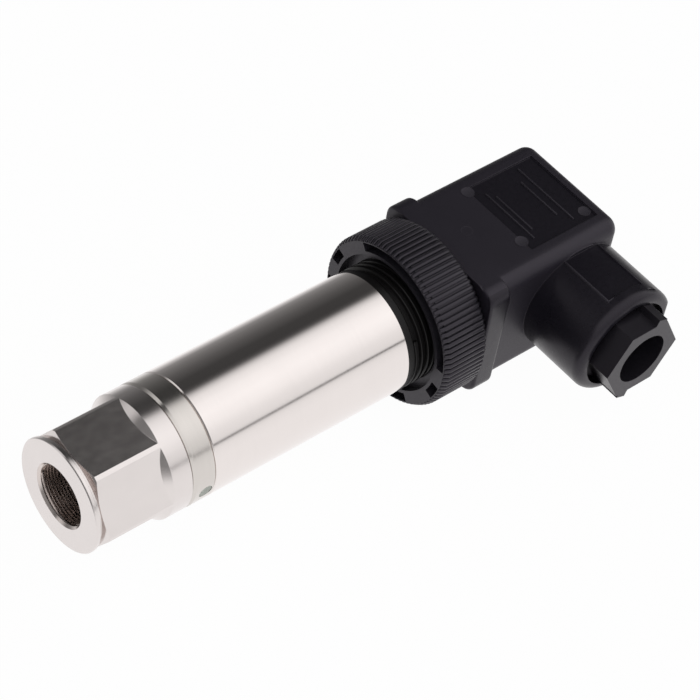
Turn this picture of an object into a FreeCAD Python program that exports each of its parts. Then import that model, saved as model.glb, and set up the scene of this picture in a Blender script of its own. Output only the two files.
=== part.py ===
import FreeCAD, Part
import Sketcher
import math
import os
import re
import sys

# Pressure transmitter with a female threaded port, a plain round body and a right-angle plug.
# +X runs along the body from the port's end face (x = 0) to the plug, +Z is the normal of the
# plug's panelled face, and the cable gland points to -Y.  Millimetres.  Threads are plain
# cylinders at their outer diameter.

SIZES = dict(
    # stainless port with its hexagon
    thread_radius=6.58, thread_depth=12.0, channel_radius=2.5, cell_seat_start=14.6,
    cell_seat_radius=8.1, face_step=1.05, face_edge=0.2, face_length=0.8, groove_depth=0.65,
    cone_start=1.45, cone_end=2.1, port_length=20.6, seam_width=0.35, seam_depth=0.35,
    hex_across=22.0, hex_turn=4.0, flat_start=1.1, flat_end=14.85, runout_radius=15.7,
    runout_slope=2.03, runout_margin=0.25,
    # collar round the measuring cell
    collar_length=5.0, collar_bore=9.0, spigot_length=2.0, edge_chamfer=0.2,
    vent_station=2.95, vent_turn=190.0, vent_radius=1.4, vent_depth=0.8, vent_hole=0.5,
    # body tube
    tube_radius=12.5, tube_wall=1.0, tube_length=45.6,
    # oil-filled measuring cell
    header_radius=7.6, header_length=6.4, diaphragm_seat=0.4, diaphragm_radius=6.6,
    diaphragm_thickness=0.2, oil_radius=5.4, oil_depth=1.1, cell_groove_start=2.4,
    cell_groove_width=1.6, cell_groove_depth=1.1, cell_cord=0.75, chip_side=2.2,
    chip_thickness=0.5, pin_radius=0.35, pin_side=3.0, pin_length=8.6, fill_radius=0.6,
    fill_offset=5.6, retainer_length=1.5, retainer_bore=5.0,
    # electronics
    carrier_length=3.8, carrier_bore=7.5, board_side_gap=0.15, board_thickness=1.6,
    board_inset=0.95, lead_overlap=4.0, converter_length=9.9, converter_width=6.0,
    chip_height=1.8, regulator_side=4.0, diode_length=4.6, diode_width=2.8, capacitor_length=7.3,
    capacitor_width=4.3, capacitor_height=2.9, part_spacing=3.0, output_overlap=8.0, earth_reach=8.0,
    # plastic neck with the outside thread and the flat contacts
    neck_inset=3.7, neck_length=12.0, neck_wall=0.65, neck_plate=3.0,
    neck_chamfer=0.5, neck_groove_start=1.1, neck_groove_width=1.3, neck_groove_depth=1.1,
    neck_cord=0.5, contact_margin=0.65, blade_width=6.3, blade_thickness=0.8, blade_reach=9.0,
    blade_tip=1.5, blade_shoulder=1.6, tail_width=3.6, tail_length=5.2,
    # ring nut
    nut_mouth=4.85, nut_length=10.55, nut_lip_radius=17.2, nut_lip_length=1.3,
    nut_radius=17.7, nut_end_radius=16.9, nut_end_length=0.95, nut_mouth_bore=14.2,
    nut_mouth_depth=1.95, nut_wall=0.95, pocket_inner=14.9,
    pocket_outer=16.7, pocket_depth=2.5, long_pocket_turn=56.0, long_pocket_angle=120.0,
    short_pocket_turn=12.0, short_pocket_angle=13.5,
    # plug housing
    hub_wall=1.3, ring_groove_start=1.4, ring_width=0.6, ring_groove_depth=0.6, ring_rim=1.3,
    ring_gap=2.0, ring_side_gap=0.15, flange_start=4.1, flange_length=5.1, flange_step=1.6,
    flange_fillet=3.2, flange_edge=0.7, box_half=13.8, box_fillet=3.0, box_end_fillet=2.6,
    box_length=39.4, box_wall=1.8, end_wall=2.0, panel_start=19.0, panel_end=36.4,
    panel_half_width=9.6, panel_depth=0.4,
    # cable arm and gland
    arm_station=28.6, arm_radius=12.0, arm_reach=15.9, arm_fillet=1.3, arm_flat_height=11.2,
    arm_flat_half_width=4.8, arm_flat_end=12.4, recess_radius=9.8, recess_depth=1.4,
    gland_radius=9.3, gland_seat=7.65, seal_radius=8.0, seal_length=6.7, passage_radius=6.0,
    seal_bore=4.0, washer_length=1.0, washer_bore=5.9, gland_shank=6.15, gland_hex=16.0,
    gland_head=5.1, gland_bore=5.65, wing_width=2.4, wing_radius=9.6, wing_root=7.0,
    wing_turn=70.0,
    # contact insert
    gasket_thickness=0.95, gasket_window=1.6, block_length=16.75, contact_inset=4.8,
    block_front=1.65, block_hollow=3.0, block_hollow_depth=12.0, socket_width=7.0,
    socket_below=3.6, socket_above=1.6, socket_length=14.5, socket_slot_depth=9.2,
    wire_radius=1.1, wire_below=2.0, wire_depth=4.5, screw_station=12.2, screw_radius=1.5,
    screw_head_radius=2.4, screw_head_height=1.1, screw_slot=0.7, screw_slot_depth=0.6,
    # gaps between pieces, and how far a cutting shape runs past the surface it opens
    running_gap=0.05, sliding_gap=0.1, face_gap=0.05, driver_gap=0.3, overcut=1.0,
)

# Sizes that follow from the ones above.  The contacts stand as far out as both the neck's bore
# and the box's wall allow.
MATING_SIZES = dict(
    bar_radius="tube_radius - running_gap",
    face_radius="bar_radius - face_step",
    groove_radius="face_radius - groove_depth",
    runout_rise="bar_radius - hex_across/2 + runout_margin",
    neck_radius="tube_radius - running_gap",
    neck_cavity="tube_radius - tube_wall - sliding_gap - neck_groove_depth - neck_wall",
    board_width="2*(neck_cavity - board_side_gap)",
    contact_radius="min(neck_cavity - contact_margin; box_half - contact_inset)",
    flange_half_width="box_half + flange_step",
    hub_bore="box_half - box_wall + sliding_gap",
    hub_radius="hub_bore + hub_wall",
    nut_relief_radius="hub_radius - ring_groove_depth + running_gap + ring_rim + ring_side_gap",
    block_radius="box_half - box_wall - sliding_gap",
    socket_inner="contact_radius - socket_below",
    socket_outer="contact_radius + socket_above",
    wire_station="contact_radius - wire_below",
)

COLLAR_START = "port_length"
TUBE_START = "(port_length + collar_length)"
TUBE_END = "(port_length + collar_length + tube_length)"
TUBE_BORE = "(tube_radius - tube_wall)"
NECK_END = "(port_length + collar_length + tube_length + neck_length)"
HUB_START = "(port_length + collar_length + tube_length + neck_length + sliding_gap)"
BLOCK_START = "(port_length + collar_length + tube_length + neck_length + face_gap*2 + gasket_thickness)"
HEADER_START = "(cell_seat_start + face_gap)"
BOARD_START = "(port_length + collar_length + spigot_length + face_gap + board_inset)"
CONTACT_TURNS = {"contact_blade_1": 0, "contact_blade_2": 180, "contact_blade_3": 90, "earth_blade": 270}

doc = FreeCAD.newDocument("PressureTransmitter")
sheet = doc.addObject("Spreadsheet::Sheet", "Sizes")
cells = [(alias, str(number)) for alias, number in SIZES.items()]
cells += [(alias, "=" + rule) for alias, rule in MATING_SIZES.items()]
for row, (alias, content) in enumerate(cells, start=1):
    sheet.set("A%d" % row, alias)
    sheet.set("B%d" % row, content)
    sheet.setAlias("B%d" % row, alias)
doc.recompute()

TOUCH = 0.01
FUNCTIONS = ("sqrt", "cos", "sin", "acos")
WORD = re.compile(r"[a-z][a-z_]+")
pieces = []


def from_sheet(text):
    """The expression text with each size named as a cell of the sheet."""
    return WORD.sub(lambda found: found.group() if found.group() in FUNCTIONS
                    else "Sizes." + found.group(), text)


def tie(target, prop, text):
    """Bind a property to an expression in the sheet's sizes."""
    target.setExpression(prop, from_sheet(text))


def keep(piece, label):
    """Name a finished sub-part and note it for export."""
    piece.Label = label
    pieces.append(piece)
    return piece


def move(piece, x="0", y="0", z="0", turn=None):
    """Bind the place of an object, and its turn about the X axis in degrees."""
    piece.Placement = FreeCAD.Placement(FreeCAD.Vector(), FreeCAD.Rotation(FreeCAD.Vector(1, 0, 0), 1))
    tie(piece, "Placement.Base.x", x)
    tie(piece, "Placement.Base.y", y)
    tie(piece, "Placement.Base.z", z)
    tie(piece, "Placement.Rotation.Angle", turn or "0")
    return piece


def pin(sketch, geometry, point, kind, text):
    """Fix one coordinate of a sketch point, DistanceX or DistanceY, from the sketch's origin."""
    if text == "0":
        axis = -2 if kind == "DistanceX" else -1
        sketch.addConstraint(Sketcher.Constraint("PointOnObject", geometry, point, axis))
        return
    ends = (geometry, point, -1, 1) if text.startswith("-") else (-1, 1, geometry, point)
    index = sketch.addConstraint(Sketcher.Constraint(kind, *ends, 1.0))
    tie(sketch, "Constraints[%d]" % index, text.lstrip("-"))


def pin_point(sketch, geometry, point, x, y):
    """Fix a sketch point at two expressions measured from the sketch's origin."""
    pin(sketch, geometry, point, "DistanceX", x)
    pin(sketch, geometry, point, "DistanceY", y)


def pin_radius(sketch, geometry, text):
    index = sketch.addConstraint(Sketcher.Constraint("Radius", geometry, 1.0))
    tie(sketch, "Constraints[%d]" % index, text)


def start_of(text, step):
    """A first guess for a coordinate, on the side of the axis that the expression gives."""
    if text == "0":
        return 0.0
    return -step if text.startswith("-") else step


def polygon(*corners):
    """Draws a closed outline through corners given as pairs of expressions."""
    def draw(sketch):
        guesses = [FreeCAD.Vector(start_of(x, 1.0 + number), start_of(y, 1.0 + number ** 2), 0)
                   for number, (x, y) in enumerate(corners)]
        for number, (x, y) in enumerate(corners):
            after = guesses[(number + 1) % len(corners)]
            sketch.addGeometry(Part.LineSegment(guesses[number], after), False)
        for number, (x, y) in enumerate(corners):
            sketch.addConstraint(Sketcher.Constraint("Coincident", number, 2,
                                                     (number + 1) % len(corners), 1))
            pin_point(sketch, number, 1, x, y)
    return draw


def rectangle(x_low, y_low, x_high, y_high):
    """Draws a rectangle between two corners."""
    return polygon((x_low, y_low), (x_high, y_low), (x_high, y_high), (x_low, y_high))


def circle(x, y, radius):
    """Draws a circle."""
    def draw(sketch):
        centre = FreeCAD.Vector(start_of(x, 1.0), start_of(y, 1.0), 0)
        sketch.addGeometry(Part.Circle(centre, FreeCAD.Vector(0, 0, 1), 1.0), False)
        pin_point(sketch, 0, 3, x, y)
        pin_radius(sketch, 0, radius)
    return draw


def rounded_square(half, radius):
    """Draws a square about the axis with round corners."""
    def draw(sketch):
        flat = "(%s - %s)" % (half, radius)
        quarter = math.pi / 2
        for number, (right, up) in enumerate((("", ""), ("-", ""), ("-", "-"), ("", "-"))):
            centre = FreeCAD.Vector(start_of(right + flat, 1.0), start_of(up + flat, 1.0), 0)
            round_corner = Part.Circle(centre, FreeCAD.Vector(0, 0, 1), 1.0)
            arc = Part.ArcOfCircle(round_corner, number * quarter, (number + 1) * quarter)
            sketch.addGeometry(arc, False)
            pin_point(sketch, number, 3, right + flat, up + flat)
            pin_radius(sketch, number, radius)
            beside, above = (1, 2) if number % 2 == 0 else (2, 1)
            pin(sketch, number, beside, "DistanceY", up + flat)
            pin(sketch, number, above, "DistanceX", right + flat)
        for number in range(4):
            after = (number + 1) % 4
            ends = sketch.getPoint(number, 2), sketch.getPoint(after, 1)
            line = sketch.addGeometry(Part.LineSegment(*ends), False)
            sketch.addConstraint(Sketcher.Constraint("Coincident", line, 1, number, 2))
            sketch.addConstraint(Sketcher.Constraint("Coincident", line, 2, after, 1))
    return draw


def new_body(label):
    body = doc.addObject("PartDesign::Body", label)
    body.Label = label
    return body


def sketch_on(body, role, draw, offset="0", turn=None):
    """A sketch on one of the body's own origin planes, raised along its normal."""
    sketch = body.newObject("Sketcher::SketchObject", body.Name + "_sketch")
    plane = next(item for item in body.Origin.OriginFeatures if item.Role == role)
    sketch.AttachmentSupport = [(plane, "")]
    sketch.MapMode = "FlatFace"
    if turn:
        sketch.AttachmentOffset = FreeCAD.Placement(
            FreeCAD.Vector(), FreeCAD.Rotation(FreeCAD.Vector(1, 0, 0), 1))
        tie(sketch, "AttachmentOffset.Rotation.Angle", turn)
    tie(sketch, "AttachmentOffset.Base.z", offset)
    draw(sketch)
    return sketch


def turned(label, *corners):
    """A body turned about the X axis from an outline of (station, radius) corners."""
    body = new_body(label)
    feature = body.newObject("PartDesign::Revolution", label + "_turning")
    feature.Profile = sketch_on(body, "XY_Plane", polygon(*corners))
    feature.ReferenceAxis = (feature.Profile[0], ["H_Axis"])
    feature.Angle = 360
    return body


def washer(label, start, length, inner, outer):
    """A plain ring about the X axis."""
    return turned(label, (start, inner), (start, outer), (start + " + " + length, outer),
                  (start + " + " + length, inner))


def pad(body, role, draw, offset, length):
    """Adds material from a plane along its normal."""
    feature = body.newObject("PartDesign::Pad", body.Name + "_pad")
    feature.Profile = sketch_on(body, role, draw, offset)
    tie(feature, "Length", length)
    return feature


def pocket(body, role, draw, offset, depth, forward=False):
    """Cuts against a plane's normal, or along it with forward."""
    feature = body.newObject("PartDesign::Pocket", body.Name + "_pocket")
    feature.Profile = sketch_on(body, role, draw, offset)
    feature.Reversed = forward
    tie(feature, "Length", depth)
    return feature


def groove(body, corners, turn="0", angle="360"):
    """Turns a cut about the X axis, from a start turn through an angle."""
    feature = body.newObject("PartDesign::Groove", body.Name + "_groove")
    feature.Profile = sketch_on(body, "XY_Plane", polygon(*corners), turn=turn)
    feature.ReferenceAxis = (feature.Profile[0], ["H_Axis"])
    tie(feature, "Angle", angle)
    return feature


def around(body, features, count):
    """Repeats features evenly about the body's X axis."""
    pattern = body.newObject("PartDesign::PolarPattern", body.Name + "_pattern")
    pattern.Originals = features
    axis = next(item for item in body.Origin.OriginFeatures if item.Role == "X_Axis")
    pattern.Axis = (axis, [""])
    pattern.Angle = 360
    pattern.Occurrences = count
    body.Tip = pattern
    return pattern


def fillet(body, radius, wanted):
    """Rounds the edges of the body's last feature that wanted picks."""
    doc.recompute()
    base = body.Tip
    names = ["Edge%d" % number for number, edge in enumerate(base.Shape.Edges, start=1) if wanted(edge)]
    feature = body.newObject("PartDesign::Fillet", body.Name + "_fillet")
    feature.Base = (base, names)
    tie(feature, "Radius", radius)
    return feature


def box(label, x, y, z, length, width, height):
    """A Part box with its low corner bound to expressions."""
    block = doc.addObject("Part::Box", label)
    tie(block, "Length", length)
    tie(block, "Width", width)
    tie(block, "Height", height)
    tie(block, "Placement.Base.x", x)
    tie(block, "Placement.Base.y", y)
    tie(block, "Placement.Base.z", z)
    return block


def rod(label, x, y, z, radius, length, along):
    """A Part cylinder from a point along a unit vector."""
    cylinder = doc.addObject("Part::Cylinder", label)
    cylinder.Placement = FreeCAD.Placement(
        FreeCAD.Vector(), FreeCAD.Rotation(FreeCAD.Vector(0, 0, 1), FreeCAD.Vector(*along)))
    tie(cylinder, "Radius", radius)
    tie(cylinder, "Height", length)
    tie(cylinder, "Placement.Base.x", x)
    tie(cylinder, "Placement.Base.y", y)
    tie(cylinder, "Placement.Base.z", z)
    return cylinder


def joined(label, *shapes):
    fuse = doc.addObject("Part::MultiFuse", label)
    fuse.Shapes = list(shapes)
    return fuse


def minus(label, base, tool):
    cut = doc.addObject("Part::Cut", label)
    cut.Base = base
    cut.Tool = tool
    return cut


def size(alias):
    """A size read from the sheet."""
    return float(sheet.get(alias))


# ---- port, collar, tube ----

def make_port():
    """Turned port whose six flats run out on a milled slope."""
    blank = turned(
        "port_blank",
        ("0", "thread_radius"), ("0", "face_radius - face_edge"), ("face_edge", "face_radius"),
        ("face_length", "face_radius"), ("face_length", "groove_radius"),
        ("cone_start", "groove_radius"), ("cone_end", "bar_radius"),
        ("port_length - seam_width", "bar_radius"),
        ("port_length - seam_width", "bar_radius - seam_depth"),
        ("port_length", "bar_radius - seam_depth"), ("port_length", "cell_seat_radius"),
        ("cell_seat_start", "cell_seat_radius"), ("cell_seat_start", "channel_radius"),
        ("thread_depth", "channel_radius"), ("thread_depth", "thread_radius"))
    cutters = []
    for number in range(6):
        slab = box("flat_slab", "flat_start", "-hex_across/2", "hex_across/2",
                   "flat_end + runout_rise*runout_slope - flat_start", "hex_across", "runout_rise")
        shoulder = doc.addObject("Part::Cone", "flat_shoulder")
        tie(shoulder, "Radius1", "runout_radius")
        tie(shoulder, "Radius2", "runout_radius - runout_rise*runout_slope")
        tie(shoulder, "Height", "runout_rise")
        tie(shoulder, "Placement.Base.x", "flat_end + runout_radius")
        tie(shoulder, "Placement.Base.z", "hex_across/2")
        cutters.append(move(minus("flat_cutter", slab, shoulder), turn="hex_turn + %d" % (60 * number)))
    keep(minus("port_cut", blank, joined("flat_cutters", *cutters)), "port_body")


def make_collar():
    """Collar with its tube spigot and the side hole of the vent."""
    body = turned(
        "collar_blank",
        (COLLAR_START, "collar_bore"), (COLLAR_START, "tube_radius - edge_chamfer"),
        (COLLAR_START + " + edge_chamfer", "tube_radius"),
        (TUBE_START + " - edge_chamfer", "tube_radius"),
        (TUBE_START, "tube_radius - edge_chamfer"), (TUBE_START, TUBE_BORE + " - running_gap"),
        (TUBE_START + " + spigot_length", TUBE_BORE + " - running_gap"),
        (TUBE_START + " + spigot_length", "collar_bore"))
    seat = rod("vent_seat", "port_length + vent_station", "0", "tube_radius - vent_depth",
               "vent_radius + running_gap", "vent_depth + overcut", (0, 0, 1))
    hole = rod("vent_bore", "port_length + vent_station", "0", "collar_bore/2", "vent_hole",
               "tube_radius - collar_bore/2", (0, 0, 1))
    tool = move(joined("vent_tool", seat, hole), turn="vent_turn - 90")
    keep(minus("collar_cut", body, tool), "sensor_collar")
    disc = rod("vent_disc", "0", "0", "0", "vent_radius", "vent_depth - sliding_gap", (0, 0, 1))
    reach = "(tube_radius - vent_depth)"
    move(disc, "port_length + vent_station", reach + "*cos(vent_turn)", reach + "*sin(vent_turn)",
         turn="vent_turn - 90")
    keep(disc, "vent_filter")


def make_tube():
    keep(turned(
        "tube", (TUBE_START, TUBE_BORE), (TUBE_START, "tube_radius - edge_chamfer"),
        (TUBE_START + " + edge_chamfer", "tube_radius"), (TUBE_END, "tube_radius"),
        (TUBE_END, TUBE_BORE)), "body_tube")


# ---- measuring cell ----

def make_cell():
    """Header, diaphragm, chip, pins, seal, filling ball and retaining ring."""
    header = turned(
        "header", (HEADER_START, "diaphragm_radius + running_gap"), (HEADER_START, "header_radius"),
        (HEADER_START + " + cell_groove_start", "header_radius"),
        (HEADER_START + " + cell_groove_start", "header_radius - cell_groove_depth"),
        (HEADER_START + " + cell_groove_start + cell_groove_width", "header_radius - cell_groove_depth"),
        (HEADER_START + " + cell_groove_start + cell_groove_width", "header_radius"),
        (HEADER_START + " + header_length", "header_radius"), (HEADER_START + " + header_length", "0"),
        (HEADER_START + " + diaphragm_seat + diaphragm_thickness + oil_depth", "0"),
        (HEADER_START + " + diaphragm_seat + diaphragm_thickness + oil_depth", "oil_radius"),
        (HEADER_START + " + diaphragm_seat + diaphragm_thickness", "oil_radius"),
        (HEADER_START + " + diaphragm_seat + diaphragm_thickness", "diaphragm_radius + running_gap"))
    pin_height = "(board_thickness/2 + pin_radius + face_gap)"
    for side in ("pin_side", "-pin_side"):
        for height in (pin_height, "-" + pin_height):
            pocket(header, "YZ_Plane", circle(side, height, "pin_radius + running_gap"), "0",
                   HEADER_START + " + header_length", forward=True)
    pocket(header, "YZ_Plane", circle("0", "-fill_offset", "fill_radius"),
           HEADER_START + " + header_length", "fill_radius*2")
    keep(header, "sensor_header")
    keep(turned("membrane", (HEADER_START + " + diaphragm_seat", "0"),
                (HEADER_START + " + diaphragm_seat", "diaphragm_radius"),
                (HEADER_START + " + diaphragm_seat + diaphragm_thickness", "diaphragm_radius"),
                (HEADER_START + " + diaphragm_seat + diaphragm_thickness", "0")), "diaphragm")
    floor = HEADER_START + " + diaphragm_seat + diaphragm_thickness + oil_depth"
    keep(box("chip", floor + " - chip_thickness", "-chip_side/2", "-chip_side/2",
             "chip_thickness", "chip_side", "chip_side"), "sensor_chip")
    for number, (side, height) in enumerate(
            (("pin_side", pin_height), ("-pin_side", pin_height),
             ("-pin_side", "-" + pin_height), ("pin_side", "-" + pin_height)), start=1):
        pin_start = floor + " - chip_thickness"
        keep(rod("pin", pin_start, side, height, "pin_radius", "pin_length", (1, 0, 0)),
             "header_pin_%d" % number)
        lead_start = pin_start + " + pin_length"
        keep(rod("lead", lead_start, side, height, "pin_radius",
                 BOARD_START + " + lead_overlap - (" + lead_start + ")", (1, 0, 0)),
             "sensor_lead_%d" % number)
    ball = doc.addObject("Part::Sphere", "ball")
    tie(ball, "Radius", "fill_radius")
    keep(move(ball, HEADER_START + " + header_length - fill_radius", "0", "-fill_offset"), "fill_ball")
    seal = doc.addObject("Part::Torus", "cell_ring")
    tie(seal, "Radius1", "header_radius - cell_groove_depth + cell_cord + running_gap")
    tie(seal, "Radius2", "cell_cord")
    seal.Placement = FreeCAD.Placement(FreeCAD.Vector(), FreeCAD.Rotation(FreeCAD.Vector(0, 1, 0), 90))
    tie(seal, "Placement.Base.x", HEADER_START + " + cell_groove_start + cell_groove_width/2")
    keep(seal, "capsule_seal")
    keep(washer("retainer", HEADER_START + " + header_length + face_gap", "retainer_length",
                "retainer_bore", "collar_bore - running_gap"), "capsule_retainer")


# ---- electronics ----

def make_electronics():
    """Carrier ring, board, its components and the leads to the contacts."""
    carrier_start = TUBE_START + " + spigot_length + face_gap"
    carrier = washer("carrier", carrier_start, "carrier_length", "carrier_bore",
                     TUBE_BORE + " - running_gap")
    half_slot = "(board_thickness/2 + face_gap)"
    half_width = "(board_width/2 + face_gap)"
    pocket(carrier, "YZ_Plane", rectangle("-" + half_width, "-" + half_slot, half_width, half_slot),
           carrier_start + " + board_inset - face_gap", "carrier_length", forward=True)
    keep(carrier, "board_carrier")
    board_length = "(" + TUBE_END + " - neck_inset + board_inset - " + BOARD_START + ")"
    keep(box("board", BOARD_START, "-board_width/2", "-board_thickness/2", board_length, "board_width",
             "board_thickness"), "circuit_board")
    top = "board_thickness/2"
    first = BOARD_START + " + lead_overlap + part_spacing"
    keep(box("converter", first, "-converter_width/2", top, "converter_length", "converter_width",
             "chip_height"), "converter_chip")
    second = first + " + converter_length + part_spacing"
    keep(box("regulator", second, "-regulator_side/2", top, "regulator_side", "regulator_side",
             "chip_height"), "regulator_chip")
    third = second + " + regulator_side + part_spacing"
    keep(box("diode", third, "-diode_width/2", top, "diode_length", "diode_width", "chip_height"),
         "surge_diode")
    keep(box("capacitor", first, "-capacitor_width/2", "-board_thickness/2 - capacitor_height",
             "capacitor_length", "capacitor_width", "capacitor_height"), "tantalum_capacitor")
    tail = TUBE_END + " + neck_length - neck_plate - tail_length"
    inner = "(contact_radius - blade_thickness/2 - pin_radius)"
    for number, side in ((1, inner), (2, "-" + inner)):
        start = BOARD_START + " + " + board_length + " - output_overlap"
        keep(rod("out", start, side, "board_thickness/2 + pin_radius", "pin_radius",
                 tail + " + lead_overlap - (" + start + ")", (1, 0, 0)), "output_lead_%d" % number)
    make_earth_lead(tail)


def make_earth_lead(tail):
    """Sloping lead from under the board to the inner side of the earth contact's tail."""
    drop = "(contact_radius - blade_thickness/2 - board_thickness/2 - 2*pin_radius)"
    length = "sqrt(%s^2 + (earth_reach + tail_length/2)^2)" % drop
    lead = doc.addObject("Part::Cylinder", "earth_wire")
    lead.Placement = FreeCAD.Placement(FreeCAD.Vector(), FreeCAD.Rotation(FreeCAD.Vector(0, 1, 0), 1))
    tie(lead, "Radius", "pin_radius")
    tie(lead, "Height", length)
    tie(lead, "Placement.Base.x", tail + " - earth_reach")
    tie(lead, "Placement.Base.z", "-(board_thickness/2 + pin_radius)")
    tie(lead, "Placement.Rotation.Angle", "acos(-%s/%s)" % (drop, length))
    keep(lead, "earth_lead")


# ---- neck and contacts ----

def make_neck():
    """Plastic neck: spigot with its seal, outside thread, contact plate."""
    inset = TUBE_END + " - neck_inset"
    body = turned(
        "neck", (inset, "neck_cavity"), (inset, TUBE_BORE + " - sliding_gap"),
        (inset + " + neck_groove_start", TUBE_BORE + " - sliding_gap"),
        (inset + " + neck_groove_start", TUBE_BORE + " - sliding_gap - neck_groove_depth"),
        (inset + " + neck_groove_start + neck_groove_width",
         TUBE_BORE + " - sliding_gap - neck_groove_depth"),
        (inset + " + neck_groove_start + neck_groove_width", TUBE_BORE + " - sliding_gap"),
        (TUBE_END, TUBE_BORE + " - sliding_gap"), (TUBE_END, "neck_radius"),
        (NECK_END + " - neck_chamfer", "neck_radius"), (NECK_END, "neck_radius - neck_chamfer"),
        (NECK_END, "0"), (NECK_END + " - neck_plate", "0"), (NECK_END + " - neck_plate", "neck_cavity"))
    slot = pocket(body, "YZ_Plane",
                  rectangle("-blade_width/2", "contact_radius - blade_thickness/2",
                            "blade_width/2", "contact_radius + blade_thickness/2"),
                  NECK_END, "neck_plate")
    around(body, [slot], 4)
    keep(body, "threaded_neck")
    ring = doc.addObject("Part::Torus", "neck_ring")
    tie(ring, "Radius1", TUBE_BORE + " - sliding_gap - neck_groove_depth + neck_cord + running_gap")
    tie(ring, "Radius2", "neck_cord")
    ring.Placement = FreeCAD.Placement(FreeCAD.Vector(), FreeCAD.Rotation(FreeCAD.Vector(0, 1, 0), 90))
    tie(ring, "Placement.Base.x", inset + " + neck_groove_start + neck_groove_width/2")
    keep(ring, "neck_seal")
    for label, turn in CONTACT_TURNS.items():
        make_blade(label, turn)


def make_blade(label, turn):
    """Flat contact with a narrow soldering tail and a tapered tip."""
    plate_end = "(tail_length + neck_plate)"
    tip_end = "(tail_length + neck_plate + blade_reach)"
    body = new_body("blade")
    pad(body, "XY_Plane", polygon(
        ("0", "-tail_width/2"), ("tail_length", "-tail_width/2"), ("tail_length", "-blade_width/2"),
        (tip_end + " - blade_tip", "-blade_width/2"), (tip_end, "-blade_shoulder"),
        (tip_end, "blade_shoulder"), (tip_end + " - blade_tip", "blade_width/2"),
        ("tail_length", "blade_width/2"), ("tail_length", "tail_width/2"), ("0", "tail_width/2")),
        "contact_radius - blade_thickness/2", "blade_thickness")
    keep(move(body, NECK_END + " - " + plate_end, turn=str(turn - 90)), label)


# ---- ring nut ----

def make_union_nut():
    """Ring nut with a plain mouth, pockets round it and a rear wall behind the split ring."""
    start = "(" + TUBE_END + " + nut_mouth)"
    end = "(" + TUBE_END + " + nut_mouth + nut_length)"
    nut = turned(
        "ring_nut", (start, "nut_mouth_bore"), (start, "nut_lip_radius"),
        (start + " + nut_lip_length", "nut_lip_radius"), (start + " + nut_lip_length", "nut_radius"),
        (end + " - nut_end_length", "nut_radius"), (end, "nut_end_radius"),
        (end, "hub_radius + sliding_gap"), (end + " - nut_wall", "hub_radius + sliding_gap"),
        (end + " - nut_wall", "nut_relief_radius"), (NECK_END, "nut_relief_radius"),
        (NECK_END, "neck_radius + running_gap"), (start + " + nut_mouth_depth", "neck_radius + running_gap"),
        (start + " + nut_mouth_depth", "nut_mouth_bore"))
    section = ((start, "pocket_inner"), (start, "pocket_outer"),
               (start + " + pocket_depth", "pocket_outer"), (start + " + pocket_depth", "pocket_inner"))
    long_pocket = groove(nut, section, "long_pocket_turn", "long_pocket_angle")
    short_pocket = groove(nut, section, "short_pocket_turn", "short_pocket_angle")
    around(nut, [long_pocket, short_pocket], 2)
    keep(nut, "union_nut")


# ---- plug ----

def make_plug_housing():
    """Right-angle plug: hub, flange, square box with a recessed panel, round cable arm."""
    arm_x = "(" + HUB_START + " + arm_station)"
    arm_end = "(box_half + arm_reach)"
    box_end = "(" + HUB_START + " + box_length)"
    flange = "(" + HUB_START + " + flange_start)"
    hub_start = (size("port_length") + size("collar_length") + size("tube_length")
                 + size("neck_length") + size("sliding_gap"))

    body = new_body("housing")
    pad(body, "YZ_Plane", rectangle("-flange_half_width", "-box_half", "flange_half_width", "box_half"),
        flange, "flange_length")
    fillet(body, "flange_fillet", lambda edge: edge.BoundBox.XLength > TOUCH)
    fillet(body, "flange_edge", lambda edge: edge.BoundBox.XLength < TOUCH)
    pad(body, "YZ_Plane", rounded_square("box_half", "box_fillet"), flange, "box_length - flange_start")
    last = hub_start + size("box_length")
    fillet(body, "box_end_fillet", lambda edge: edge.BoundBox.XMin > last - TOUCH)
    pad(body, "XZ_Plane", circle(arm_x, "0", "arm_radius"), "0", arm_end)
    pocket(body, "YZ_Plane", rectangle("-(box_half + arm_reach)", "-flange_half_width",
                                       "flange_half_width", "flange_half_width"),
           box_end, "arm_radius", forward=True)
    tip = size("box_half") + size("arm_reach")
    fillet(body, "arm_fillet", lambda edge: edge.BoundBox.YMax < TOUCH - tip)
    pocket(body, "XY_Plane", rectangle(arm_x + " - arm_flat_half_width", "-(box_half + arm_flat_end)",
                                       arm_x + " + arm_flat_half_width", "-box_half"),
           "arm_flat_height", "arm_radius", forward=True)
    pad(body, "YZ_Plane", circle("0", "0", "hub_radius"), HUB_START, "flange_start + flange_length")
    pocket(body, "YZ_Plane", circle("0", "0", "hub_bore"), HUB_START,
           "flange_start + box_wall + face_gap", forward=True)
    inner = "(box_half - box_wall)"
    pocket(body, "YZ_Plane", rectangle("-" + inner, "-" + inner, inner, inner),
           flange + " + box_wall", "box_length - flange_start - box_wall - end_wall", forward=True)
    groove(body, ((HUB_START + " + ring_groove_start", "hub_radius - ring_groove_depth"),
                  (HUB_START + " + ring_groove_start", "hub_radius + overcut"),
                  (HUB_START + " + ring_groove_start + ring_width + sliding_gap", "hub_radius + overcut"),
                  (HUB_START + " + ring_groove_start + ring_width + sliding_gap",
                   "hub_radius - ring_groove_depth")))
    for radius, stage in (("recess_radius", "recess_depth"), ("gland_radius", "gland_seat"),
                          ("seal_radius", "gland_seat + seal_length"),
                          ("passage_radius", "arm_reach + box_wall + overcut")):
        pocket(body, "XZ_Plane", circle(arm_x, "0", radius), arm_end, stage)
    pocket(body, "XY_Plane", rectangle(HUB_START + " + panel_start", "-panel_half_width",
                                       HUB_START + " + panel_end", "panel_half_width"),
           "box_half", "panel_depth")
    keep(body, "plug_housing")


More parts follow.
